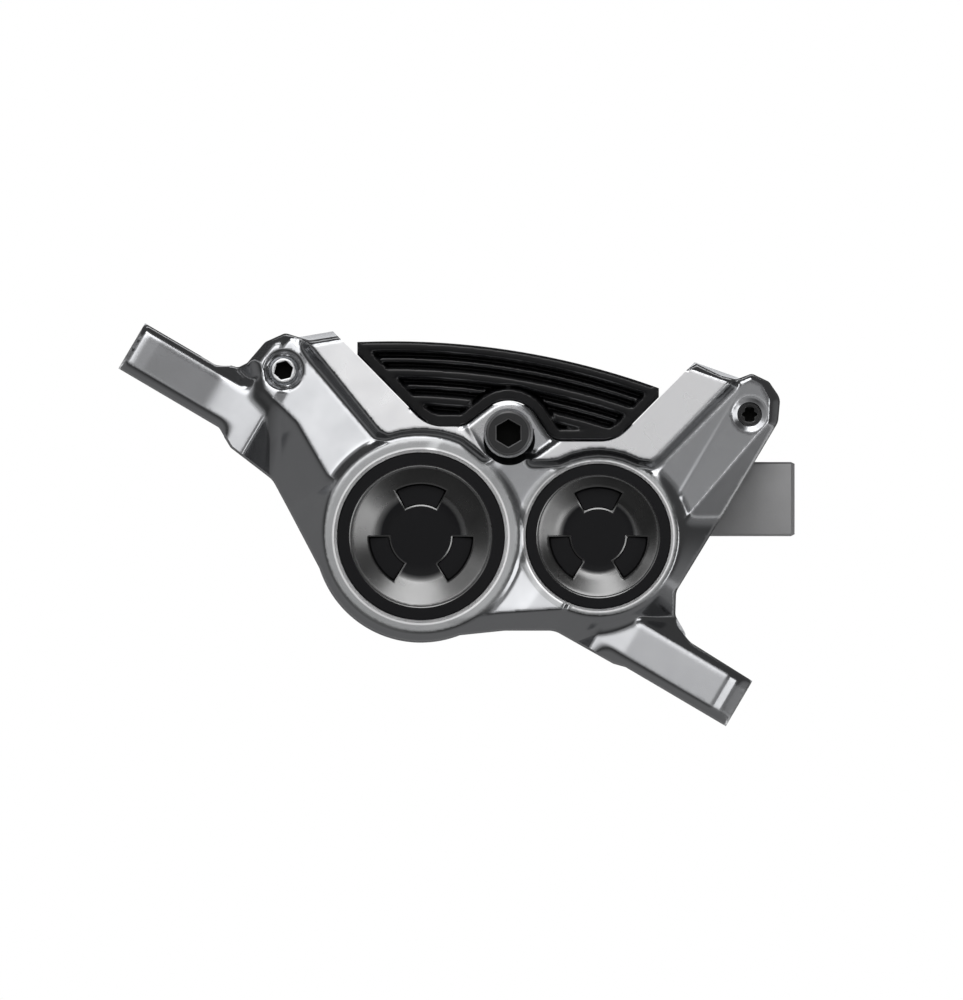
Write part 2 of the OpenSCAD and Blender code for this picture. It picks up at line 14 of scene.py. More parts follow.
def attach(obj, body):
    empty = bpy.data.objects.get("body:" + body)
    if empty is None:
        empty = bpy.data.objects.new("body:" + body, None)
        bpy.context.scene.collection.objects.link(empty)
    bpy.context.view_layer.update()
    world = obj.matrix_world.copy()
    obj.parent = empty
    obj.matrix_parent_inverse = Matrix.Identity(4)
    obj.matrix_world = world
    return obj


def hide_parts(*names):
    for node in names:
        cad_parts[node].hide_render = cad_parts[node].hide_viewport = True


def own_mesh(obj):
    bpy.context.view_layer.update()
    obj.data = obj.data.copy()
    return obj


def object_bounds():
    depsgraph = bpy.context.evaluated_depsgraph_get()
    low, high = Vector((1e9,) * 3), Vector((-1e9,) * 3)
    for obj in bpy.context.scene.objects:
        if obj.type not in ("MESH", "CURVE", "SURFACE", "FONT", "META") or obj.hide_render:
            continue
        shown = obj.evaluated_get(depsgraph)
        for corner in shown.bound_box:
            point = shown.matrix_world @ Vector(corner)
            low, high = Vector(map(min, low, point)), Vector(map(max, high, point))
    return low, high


bl_info = {
    "name": "Disc Brake Caliper",
    "version": (1, 0, 0),
    "blender": (4, 5, 0),
    "location": "View3D > Sidebar > Caliper",
    "description": "Dresses the packed disc brake caliper with its visible pieces",
    "category": "Object",
}

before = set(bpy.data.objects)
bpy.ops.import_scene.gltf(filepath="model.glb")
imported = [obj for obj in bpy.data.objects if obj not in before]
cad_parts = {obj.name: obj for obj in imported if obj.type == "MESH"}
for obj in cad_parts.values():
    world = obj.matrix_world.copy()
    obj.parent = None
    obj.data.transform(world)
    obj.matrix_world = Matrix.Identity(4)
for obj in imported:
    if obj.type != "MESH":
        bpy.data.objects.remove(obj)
CAD_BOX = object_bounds()

MM = 0.001
TILT = math.radians(30.5)
BORE_FRAME = Matrix.Translation((9.3, 0, 7.2)) @ Matrix.Rotation(-TILT, 4, "Y")
LARGE_BORE = (-11.825, 0.0)
SMALL_BORE = (11.825, 0.0)
AXLE = (-0.15, 13.75)
BLEED = (-30.15, 22.1)
PLUG = (32.0, 16.25)
# Centre and radius of the dark crescent carved below the axle's head
CRESCENT = (AXLE[0] + 0.1, AXLE[1] - 0.85), 3.45
# Radii where the faces round the two bores start to fall
LARGE_RING, SMALL_RING = 12.9, 10.6
# Width of the narrow bevel along the bands and the web
CRISP = 0.14
# The screws' recesses: centre, radii of the wall's foot and rim, its depth and the slope of the cone in it
RECESSES = (BLEED, 2.42, 2.58, 0.4, 0.5), (PLUG, 2.14, 2.3, 0.08, 0.3)
# Y of the plane where the modelled front meets the back, which is the CAD body's
FRONT_BACK = 1.0
# X of a mounting bolt, then half the width and half the length of its slot
BOLT_X, SLOT_W, SLOT_L = 37.1, 3.25, 5.3
# The two caps: centre, radii of the flange, the thread, the dish and the flat in it, then Y of the face
CAPS = {"large": (LARGE_BORE, 11.2, 10.6, 9.3, 5.3, -9.3), "small": (SMALL_BORE, 9.7, 9.2, 8.0, 4.9, -8.7)}
# Y of the disc's middle, and how far each pad moves when it closes on the disc
DISC_Y, PAD_TRAVEL = 15.0, 1.2
# The finned plates: centre and radius of the arched top, Y of the ribs, the floor and the back, X of both
# ends, and the slope of the ribs' sides
FIN_ARC, FIN_R = (-15.6, -77.9), 103.9
FIN_FRONT, FIN_BASE, FIN_BACK = 5.15, 8.35, 9.75
FIN_LEFT, FIN_RIGHT, RIB_SLOPE = -20.3, 19.9, 9.0
# Light that the metal mirrors from every side of the studio
ROOM_DARK = 0.07


# Sizes and colours that a user would change


def length(name, text, default, **more):
    return FloatProperty(name=name, description=text, default=default, **more)


class BodySizes(bpy.types.PropertyGroup):
    grain: length("Grain", "Spacing of the points that carry the forged surface, in mm", 0.27, min=0.2, max=1)
    band: length("Band height", "Height of the two machined bands before the bolt plane, in mm", 10.45)
    web: length("Web height", "Height of the flat between the bores, in mm", 9.0)
    lug: length("Lug height", "Height of the two screw lugs, in mm", 8.0)
    ear: length("Ear height", "Height of the ears' faces, in mm", 7.5)
    ear_round: length("Ear rounding", "Radius of the rounding round an ear's face, in mm", 1.4)
    fillet: length("Fillet", "Blend between the forged forms, in mm", 1.8, min=0.2)
    soft: length("Softness", "Radius to which polishing rounds the edges, in mm", 0.24, min=0)
    rim: length("Rim", "Width of the bevel along the body's outline, in mm", 0.3, min=0.1)


class CapSizes(bpy.types.PropertyGroup):
    grain: length("Grain", "Spacing of the points that carry a cap's face, in mm", 0.24, min=0.1, max=1)
    dish: length("Dish depth", "Depth of the dish in a cap, in mm", 1.5)
    slot_depth: length("Slot depth", "Depth of a cap's spanner slots below its dish, in mm", 0.75)
    wall: length("Slot wall", "Width over which a spanner slot's wall falls, in mm", 0.36)


class FinSizes(bpy.types.PropertyGroup):
    grain: length("Grain", "Spacing of the points that carry the fins, in mm", 0.3, min=0.1, max=1)
    border: length("Border", "Width of the flat border round the ribs, in mm", 1.6)
    wide: length("Wide rib", "Width of a wide rib, in mm", 1.5)
    thin: length("Thin rib", "Width of a thin rib, in mm", 0.6)
    pitch: length("Rib pitch", "Distance from one wide rib to the next, in mm", 3.5)


class StageSizes(bpy.types.PropertyGroup):
    view_height: length("View height", "Height of the view, in metres", 0.13333, unit="LENGTH")
    floor: length("Floor size", "Side of the floor, in metres", 6.0, unit="LENGTH")
    card: length("Card size", "Side of the card under the caliper, in metres", 0.7, unit="LENGTH")


def tint(name, text, default):
    return StringProperty(name=name, description=text, default=default)


class Colours(bpy.types.PropertyGroup):
    forged: tint("Forged silver", "sRGB hex colour of the polished forging", "#BBBCBE")
    # The machined colour on each bore's lip is also a painted highlight, and the rings' colour is also
    # painted shade round the bores
    machined: tint("Machined silver", "sRGB hex colour of the machined faces", "#E2E2E3")
    ring: tint("Turned rings", "sRGB hex colour of the turned faces round the bores", "#A2A3A4")
    black: tint("Black anodising", "sRGB hex colour of the caps and fins", "#17171A")
    cone: tint("Turned cones", "sRGB hex colour of the caps' glossy cones", "#848484")
    port: tint("Port grey", "sRGB hex colour of the hose port block", "#C2C2C3")
    steel: tint("Steel", "sRGB hex colour of the plain steel pieces", "#E2E3E4")


def sizes(group):
    return getattr(bpy.context.scene, "caliper_" + group)


# Outlines: X and Z of the bore frame, and a third number where a corner is rounded


def arc(centre, radius, start, end, n=10):
    turns = [math.radians(start + (end - start) * i / n) for i in range(n + 1)]
    return [(centre[0] + radius * math.cos(t), centre[1] + radius * math.sin(t)) for t in turns]


def circle(centre, radius, n=128):
    return arc(centre, radius, 0, 360, n)[:-1]


def corner(a, b, c, r, n):
    u, v = (Vector(a) - Vector(b)).normalized(), (Vector(c) - Vector(b)).normalized()
    half = math.acos(max(-1.0, min(1.0, u.dot(v)))) / 2
    o = Vector(b) + (u + v).normalized() * r / math.sin(half)
    p, q = Vector(b) + u * r / math.tan(half) - o, Vector(b) + v * r / math.tan(half) - o
    start = math.degrees(math.atan2(p.y, p.x))
    turn = (math.degrees(math.atan2(q.y, q.x)) - start + 900) % 360 - 180
    return arc(o, r, start, start + turn, n)


def rounded(path, n=5):
    """A path whose points may give a third number, the radius of that corner."""
    out = []
    for i, p in enumerate(path):
        before, after = path[i - 1][:2], path[(i + 1) % len(path)][:2]
        out += [p] if len(p) < 3 else corner(before, p[:2], after, p[2], n)
    return out


def hexagon(centre, flats, turn):
    return arc(centre, flats / math.sqrt(3), turn, turn + 360, 6)[:-1]


def grown(path, d):
    """The anticlockwise path moved outwards by d."""
    out = []
    for i, p in enumerate(path):
        p, a, b = Vector(p), Vector(path[i - 1]), Vector(path[(i + 1) % len(path)])
        s, t = (p - a).normalized(), (b - p).normalized()
        m, n = Vector((s.y, -s.x)), Vector((t.y, -t.x))
        out.append(tuple(p + (m + n) * d / (1 + m.dot(n))))
    return out


def from_row(points):
    """Points of the row frame's X and Z as the bore frame's."""
    turn = BORE_FRAME.inverted()
    return [tuple((turn @ Vector((p[0], 0, p[1]))).xz) + tuple(p[2:]) for p in points]


EAR_END, EAR_T = 47.0, 7.0
OUTLINE = rounded([(-22.9, 26.7), (-26.7, 26.1, 1.5), (-29.9, 27.1, 1), (-32.6, 25.9, 1.5), (-35, 23.1, 0.8),
    (-36.2, 22.5, 0.8), (-37.6, 22.9, 0.8), (-39.2, 22.9, 0.8)]
    + from_row([(-EAR_END, EAR_T, 0.5), (-EAR_END, 0, 0.5), (-31.4, 0, 1)])
    + [(-37.2, 11.8, 1), (-31.6, 7.5, 3), (-29.4, 3.4)] + arc(LARGE_BORE, 14.1, 200, 290, 24)
    + [(-0.7, -12.6, 4), (6, -12.6, 3), (13.8, -17, 1)] + from_row([(31.5, 0, 1), (EAR_END, 0, 0.5),
    (EAR_END, EAR_T, 0.5)])
    + [(24.2, -14.2, 1.5), (22.1, -10.6, 1.5), (22.2, -7.4, 2), (26.4, -0.5, 1), (33.2, 10.8, 1.5),
    (35.8, 15.2, 2), (36.1, 18.4, 2), (34.6, 20.6, 1), (32.3, 21.7, 0.8), (30.2, 20.9, 0.8), (28.2, 21.4, 1),
    (24.9, 23), (23.9, 22.4)])
WINDOW = rounded([(-30.8, 34.7), (-11.05, 14.6, 5), (-5.9, 14.6, 2.3)] + arc(AXLE, 4.2, 125, 35, 12)
    + [(5.6, 12.6, 2.3), (14.2, 12.6, 5), (36, 34.7)], 8)
LEFT_BAND = [(-26.5, 25.5), (-18.2, 15.2), (-17.3, 14.1)] + arc(LARGE_BORE, 14.3, 108, 67, 6) + [(-3.2, 10.8),
    (-5.6, 14.7)] + arc(LARGE_BORE, 16.8, 72, 95, 6) + [(-13.6, 18), (-14.2, 18.6), (-20.7, 26.5)]
RIGHT_BAND = [(3.2, 10.2), (5.2, 10.2)] + arc(SMALL_BORE, 11.7, 118, 62, 6) + [(18.9, 10.1), (19.9, 10.8),
    (29.3, 20.5), (22.5, 22.9), (15.8, 16.4), (15.4, 15)] + arc(SMALL_BORE, 14.2, 76, 107, 6) + [(6.9, 12.9),
    (6.2, 12.35)]
LEFT_LUG = [(-18.6, 13), (-29.2, 25.9), (-31.3, 25.3), (-33.1, 23), (-32.4, 19.6), (-30.6, 17.6),
    (-28.2, 15.2), (-24.2, 8.2), (-22, 7)]
RIGHT_LUG = [(19.8, 8.6), (23.4, 2.4), (31.6, 12), (34.4, 15.2), (34.6, 18.2), (33.6, 20.2), (32.2, 20.9),
    (30.6, 20.3)]
WEB = [(-1.7, -10.4), (7, -9.8), (10, -4), (10, 4), (6, 8.6), (0, 11.2), (-5.7, 13), (-7.5, 15), (-11.8, 9),
    (-12, -6), (-8.2, -11.5)]


# Modelling


def deselect():
    if bpy.context.object and bpy.context.object.mode != "OBJECT":
        bpy.ops.object.mode_set(mode="OBJECT")
    bpy.ops.object.select_all(action="DESELECT")


def only(piece):
    deselect()
    piece.select_set(True)
    bpy.context.view_layer.objects.active = piece


def edit(piece):
    only(piece)
    bpy.ops.object.mode_set(mode="EDIT")
    bpy.ops.mesh.select_all(action="SELECT")


def outwards(piece):
    edit(piece)
    bpy.ops.mesh.normals_make_consistent(inside=False)
    bpy.ops.object.mode_set(mode="OBJECT")


def stack(name, levels):
    """A solid whose outlines lie one behind the other: [(y, [(u, w), ...]), ...], all with as many points."""
    deselect()
    y, path = levels[0]
    bpy.ops.mesh.primitive_circle_add(vertices=len(path), radius=1, fill_type="NGON")
    piece = bpy.context.object
    piece.name = piece.data.name = name
    for v, p in zip(piece.data.vertices, path):
        v.co = (p[0], y, p[1])
    for y, after in levels[1:]:
        old = np.array(path)
        bpy.ops.object.mode_set(mode="EDIT")
        bpy.ops.mesh.extrude_region_move(TRANSFORM_OT_translate={"value": (0, 0, 0)})
        bpy.ops.object.mode_set(mode="OBJECT")
        for v in piece.data.vertices:
            if v.select:
                i = int(np.argmin(np.hypot(*(old - (v.co.x, v.co.z)).T)))
                v.co = (after[i][0], y, after[i][1])
        path = after
    outwards(piece)
    return piece


def lathe(name, centre, profile, n=128):
    """A solid turned about the Y axis through centre: [(radius, y), ...], front first."""
    return stack(name, [(y, circle(centre, r, n)) for r, y in profile])


def modify(piece, kind, **settings):
    m = piece.modifiers.new(kind.lower(), kind)
    for key, value in settings.items():
        setattr(m, key, value)
    only(piece)
    bpy.ops.object.modifier_apply(modifier=m.name)
    return piece


def boolean(piece, cutter):
    modify(piece, "BOOLEAN", object=cutter, operation="DIFFERENCE", solver="EXACT")
    bpy.data.objects.remove(cutter)


def bevel(piece, width, angle=28):
    return modify(piece, "BEVEL", width=width, segments=2, limit_method="ANGLE",
        angle_limit=math.radians(angle), use_clamp_overlap=True, miter_outer="MITER_ARC")


def painted_socket_shade(piece, centre, radius, depth, plain, dark, reach=2.6):
    """Gives the faces inside a socket, up to that reach behind a depth, the second of two finishes, whose
    near-black colour is painted shade.
    """
    piece.data.materials.append(plain)
    piece.data.materials.append(dark)
    for face in piece.data.polygons:
        x, y, z = face.center
        if y > depth and math.hypot(x - centre[0], z - centre[1]) < radius:
            face.material_index = int(abs(y - depth) < reach)


def joined(pieces, name):
    deselect()
    for p in pieces:
        p.select_set(True)
    bpy.context.view_layer.objects.active = pieces[0]
    bpy.ops.object.join()
    pieces[0].name = pieces[0].data.name = name
    return pieces[0]


def copied(node, name):
    """The CAD node as a piece of its own in millimetres of the row frame, its loose triangles merged."""
    piece = bpy.data.objects.new(name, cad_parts[node].data.copy())
    bpy.context.scene.collection.objects.link(piece)
    piece.data.name = name
    piece.data.transform(Matrix.Scale(1 / MM, 4))
    piece.data.materials.clear()
    only(piece)
    if piece.data.has_custom_normals:
        bpy.ops.mesh.customdata_custom_splitnormals_clear()
    edit(piece)
    bpy.ops.mesh.remove_doubles(threshold=0.0005)
    bpy.ops.mesh.dissolve_limited(angle_limit=math.radians(0.3))
    bpy.ops.object.mode_set(mode="OBJECT")
    return piece


def placed(piece, body, material, replaces=(), bore=True, smooth=35):
    """Puts a finished piece in the row frame in metres, and gives it its finish and its body."""
    piece.data.transform(Matrix.Scale(MM, 4) @ (BORE_FRAME if bore else Matrix.Identity(4)))
    only(piece)
    bpy.ops.object.shade_smooth_by_angle(angle=math.radians(smooth))
    if not piece.data.materials:
        piece.data.materials.append(material)
    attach(piece, body)
    if replaces:
        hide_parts(*replaces)
    return piece


def dressed(source, name, width, body, finish):
    """The CAD node as a visible piece, its edges rounded."""
    return placed(bevel(copied(source, name), width), body, finish, [source], bore=False)


# Materials


def linear(hex_colour):
    """An sRGB hex colour as linear red, green, blue and alpha."""
    parts = [int(hex_colour[i:i + 2], 16) / 255 for i in (1, 3, 5)]
    return [c / 12.92 if c <= 0.04045 else ((c + 0.055) / 1.055) ** 2.4 for c in parts] + [1.0]


def node(tree, kind, links=(), **settings):
    """Adds a node. links pairs an input's name with the socket that feeds it; a setting with an input's name
    sets that input."""
    made = tree.nodes.new("ShaderNode" + kind)
    for key, value in settings.items():
        if key.startswith("in_"):
            made.inputs[int(key[3:])].default_value = value
        elif hasattr(made, key):
            setattr(made, key, value)
        else:
            made.inputs[key.replace("_", " ")].default_value = value
    for key, socket in dict(links).items():
        tree.links.new(socket, made.inputs[key])
    return made


def fed(tree, shader, links, **settings):
    """Feeds a shader's inputs from sockets, and sets other inputs."""
    for key, socket in links.items():
        tree.links.new(socket, shader.inputs[key])
    for key, value in settings.items():
        shader.inputs[key.replace("_", " ")].default_value = value


def material(name):
    made = bpy.data.materials.new(name)
    made.use_nodes = True
    tree = made.node_tree
    tree.nodes.clear()
    shader = node(tree, "BsdfPrincipled")
    node(tree, "OutputMaterial", {"Surface": shader.outputs[0]})
    place = node(tree, "TexCoord").outputs["Object"]
    return made, tree, shader, place


def maths(tree, operation, links, **settings):
    return node(tree, "Math", links, operation=operation, **settings).outputs[0]


def ramp(tree, value, start, end, low=0.0, high=1.0, **settings):
    """A value that runs from start to end as one that runs from low to high."""
    return node(tree, "MapRange", {"Value": value}, From_Min=start, From_Max=end, To_Min=low, To_Max=high,
        **settings).outputs[0]


def along(tree, vector, direction):
    """1 where the vector points in that direction, -1 where it points the other way."""
    return node(tree, "VectorMath", {0: vector}, operation="DOT_PRODUCT", in_1=direction).outputs["Value"]


def mixed(tree, factor, *tones):
    """Two tones mixed, each a socket or a hex colour."""
    tones = dict(zip((6, 7), tones))
    fed = {key: tone for key, tone in tones.items() if not isinstance(tone, str)}
    mix = node(tree, "Mix", {0: factor, **fed}, data_type="RGBA")
    for key in tones.keys() - fed.keys():
        mix.inputs[key].default_value = linear(tones[key])
    return mix.outputs[2]


def mottled(tree, place, colour, other, scale, detail=3.0):
    """Two close tones of a finish, mixed by noise of that many waves per metre."""
    noise = node(tree, "TexNoise", {"Vector": place}, Scale=scale, Detail=detail).outputs["Fac"]
    return mixed(tree, noise, colour, other), noise


def spread(tree, noise, low, high):
    return ramp(tree, noise, 0.3, 0.7, low, high)


def roughened(tree, shader, factor, plain, other):
    """Gives a finish the first roughness, and the second where the factor is 1."""
    fed(tree, shader, {"Roughness": node(tree, "Mix", {0: factor, 2: plain, 3: other}).outputs[0]})


def bumped(tree, shader, place, scale, height, detail=2.0):
    """Relief of that many waves per metre and height in metres."""
    grain = node(tree, "TexNoise", {"Vector": place}, Scale=scale, Detail=detail).outputs["Fac"]
    bump = node(tree, "Bump", {"Height": grain}, Strength=1.0, Distance=height)
    fed(tree, shader, {"Normal": bump.outputs[0]})


def surface(name, colour, other, patch, rough, metal, grain, height, detail=2.0, **sockets):
    """A finish of two tones in patches of that size, rough from low to high, with a grain, all in mm."""
    made, tree, shader, place = material(name)
    tone, noise = mottled(tree, place, colour, other, 1000 / patch)
    rough = spread(tree, noise, *rough)
    fed(tree, shader, {"Base Color": tone, "Roughness": rough}, Metallic=metal, **sockets)
    bumped(tree, shader, place, 1000 / grain, height * MM, detail)
    return made


def forged_aluminium(colours):
    # Forged aluminium, polished and clear anodised: it mirrors the room in long streaks along every edge. The
    # bands and the web are milled after forging, so they look paler and flatter.
    made, tree, shader, place = material("forged_aluminium")
    polished, noise = mottled(tree, place, colours.forged, "#B4B5B8", 260)
    milled, grain = mottled(tree, place, colours.machined, "#DEDEE0", 300, 1.0)
    # Near the axle a face has to stand half a millimetre higher to count as milled
    depth = node(tree, "SeparateXYZ", {0: place}).outputs["Y"]
    boss = ramp(tree, away(tree, place, AXLE), 0.0075, 0.0065)
    depth = maths(tree, "MULTIPLY_ADD", {0: boss, 2: depth}, in_1=0.0005)
    high = ramp(tree, depth, -0.0096, -0.00975)
    milled_here = maths(tree, "MULTIPLY", {0: facing(tree, 0.985, 0.997), 1: high})
    tone = mixed(tree, milled_here, polished, milled)
    # Turned faces round the bores get a darker tone, and each bore's lip the pale machined one. Both are also
    # painted light: the darker ring is painted shade for the dimmer reflection there, the pale lip a painted
    # highlight for the bright line along the bore's edge.
    for centre, lip, radius in ((LARGE_BORE, 11.85, 13.1), (SMALL_BORE, 10.2, 10.9)):
        gap = away(tree, place, centre)
        for edge, colour in ((radius, colours.ring), (lip, colours.machined)):
            ring = ramp(tree, gap, (edge + 0.08) * MM, (edge - 0.08) * MM)
            ring = maths(tree, "MULTIPLY", {0: ring, 1: facing(tree, 0.9, 0.97)})
            tone = mixed(tree, ring, tone, colour)
    fed(tree, shader, {"Base Color": tone}, Metallic=1.0)
    roughened(tree, shader, milled_here, spread(tree, noise, 0.15, 0.2), spread(tree, grain, 0.26, 0.32))
    return made


def facing(tree, low, high):
    """1 where the surface faces the outer side squarely, 0 where it slopes."""
    normal = node(tree, "NewGeometry").outputs["Normal"]
    return ramp(tree, along(tree, normal, (0, -1, 0)), low, high)


def away(tree, place, centre):
    """Distance in metres from the axis through a point of the bore frame."""
    at = (BORE_FRAME @ Vector((centre[0], 0, centre[1]))) * MM
    flattened = node(tree, "VectorMath", {0: place}, operation="MULTIPLY", in_1=(1, 0, 1))
    return node(tree, "VectorMath", {0: flattened.outputs[0]}, operation="DISTANCE", in_1=at).outputs["Value"]


def turned_black(colours):
    # Turned aluminium, black anodised: the flat faces were blasted first and are matt, the cones keep the
    # gloss of the lathe, and soft streaks of light cross them. Steep walls, such as the slots' sides, get
    # painted shade.
    made, tree, shader, place = material("turned_black_anodised")
    flat, wall = facing(tree, 0.955, 0.985), facing(tree, 0.75, 0.6)
    blasted, noise = mottled(tree, place, colours.black, "#1A1A1C", 420)
    # Painted shade: steep walls take a near-black colour and lose their gloss
    tone = mixed(tree, wall, mixed(tree, flat, colours.cone, blasted), "#040404")
    gloss = maths(tree, "SUBTRACT", {0: ramp(tree, flat, 0.0, 1.0, 1.0, 0.0), 1: wall}, use_clamp=True)
    fed(tree, shader, {"Base Color": tone, "Metallic": gloss}, Specular_IOR_Level=0.14)
    roughened(tree, shader, flat, spread(tree, noise, 0.24, 0.28), spread(tree, noise, 0.44, 0.5))
    bumped(tree, shader, place, 3200, 0.0000004)
    return made


def fin_black():
    # Pressed aluminium fins, black anodised: the flats are satin, the ribs' rounded edges are polished by the
    # press and draw bright lines over black hollows.
    made, tree, shader, place = material("pressed_black_anodised")
    flat = facing(tree, 0.9, 0.98)
    tone, noise = mottled(tree, place, "#0E0E10", "#141416", 420)
    fed(tree, shader, {"Base Color": tone, "Specular IOR Level": ramp(tree, flat, 0.0, 1.0, 0.9, 0.2)})
    roughened(tree, shader, flat, spread(tree, noise, 0.2, 0.26), spread(tree, noise, 0.4, 0.48))
    return made


def port_aluminium(colours):
    # Blasted and grey anodised aluminium: matt, of one even grey from every side.
    return surface("blasted_grey_anodised", colours.port, "#BABABB", 3, (0.5, 0.58), 0.6, 0.25, 0.012)


def bright_steel(colours):
    # Stainless steel, cold headed and passivated: brighter and a little warmer than the aluminium round it.
    return surface("stainless_steel", colours.steel, "#D8D9DB", 2, (0.22, 0.3), 1.0, 0.3, 0.002)


def oxide_black():
    # Steel blackened in hot oxide and oiled: a satin charcoal face, with the edges that the key and the hand
    # wear bright.
    made, tree, shader, place = material("black_oxide_steel")
    worn = maths(tree, "MULTIPLY", {0: facing(tree, 0.95, 0.85), 1: facing(tree, 0.5, 0.7)})
    oxide, noise = mottled(tree, place, "#29292A", "#303031", 660)
    tone, rough = mixed(tree, worn, oxide, "#8C8C8D"), spread(tree, noise, 0.34, 0.42)
    fed(tree, shader, {"Base Color": tone, "Metallic": worn, "Roughness": rough}, Specular_IOR_Level=0.3)
    return made


def socket_shade_and_grime():
    # The inside of a driver socket: blackened steel with oil and dust in it, and its near-black colour is
    # also painted shade for the shadow deep in the socket.
    return surface("socket_oil_and_painted_shade", "#050505", "#141413", 0.8, (0.6, 0.8), 0.0, 0.3, 0.01,
        Specular_IOR_Level=0.08)


def pressed_steel():
    # Stamped steel plate: dull grey with the cloudy look of rolled stock.
    return surface("stamped_steel", "#8E8F91", "#7B7C7F", 5, (0.34, 0.46), 1.0, 0.3, 0.006, 4.0)


def spring_steel():
    # Cold rolled spring steel: thin, smooth and bright, with a faint straw tone.
    return surface("spring_steel", "#A5A29A", "#94918A", 3, (0.2, 0.28), 1.0, 0.5, 0.002)


def ceramic():
    # Pressed and ground ceramic: creamy white, smooth, with a little light passing under its skin.
    return surface("ground_ceramic", "#DAD6CC", "#CFCABE", 1.6, (0.28, 0.36), 0.0, 0.3, 0.003)


def resin_pad():
    # Pressed resin with fibre and metal chips: dark brown, matt and grainy, flecked with copper and grey.
    made, tree, shader, place = material("pressed_resin_friction")
    tone, noise = mottled(tree, place, "#453931", "#5A4A3E", 900, 6.0)
    chips = node(tree, "TexVoronoi", {"Vector": place}, Scale=1500.0)
    fleck = ramp(tree, chips.outputs["Distance"], 0.28, 0.2)
    tone, rough = mixed(tree, fleck, tone, "#A07B5B"), spread(tree, noise, 0.75, 0.9)
    fed(tree, shader, {"Base Color": tone, "Roughness": rough})
    bumped(tree, shader, place, 2400, 0.00004, 5.0)
    return made


def rubber():
    # Moulded nitrile rubber: dull black with a soft grey bloom.
    return surface("moulded_nitrile", "#151515", "#1F1F1F", 1.5, (0.55, 0.68), 0.0, 0.2, 0.004)


# Body


def outside(points, path):
    """Distance of each point from a closed path, negative inside it."""
    near = np.full(len(points), 1e18)
    inside = np.zeros(len(points), bool)
    ring = np.array([p[:2] for p in path])
    for a, b in zip(ring, np.roll(ring, -1, axis=0)):
        e, w = b - a, points - a
        t = np.clip(w @ e / (e @ e), 0, 1)
        near = np.minimum(near, ((w - t[:, None] * e) ** 2).sum(1))
        if a[1] != b[1]:
            across = (a[1] > points[:, 1]) != (b[1] > points[:, 1])
            inside ^= across & (w[:, 0] < e[0] * w[:, 1] / e[1])
    return np.sqrt(near) * np.where(inside, -1, 1)


def fall(d, slope, knee):
    """How far a face drops at distance d outside its soft edge."""
    d = np.maximum(d, 0)
    return slope * (np.sqrt(d * d + knee * knee) - knee)


def drop(d, slope, edge=CRISP):
    """How far a face drops outside its crisp edge, which has a narrow bevel."""
    d = np.maximum(d, 0)
    return np.where(d < edge, 0.6 * d, 0.6 * edge + slope * (d - edge))


def over(d, radius):
    """How far a face drops at distance d past the line where its rounding starts, and then its wall."""
    end = 0.96 * radius
    return radius - np.sqrt(radius ** 2 - np.clip(d, 0, end) ** 2) + 1.7 * np.maximum(d - end, 0)


def leaning(p, at, slope):
    """How far a face that leans to the upper left lies below its height at a point."""
    return slope * ((p - at) @ np.array((-0.8, 0.6)))


def merged(a, b, k):
    """The higher of two surfaces, with a fillet where they meet."""
    h = np.maximum(k - np.abs(a - b), 0)
    return np.maximum(a, b) + h * h / (4 * k)


def ease(t):
    t = np.clip(t, 0, 1)
    return t * t * (3 - 2 * t)


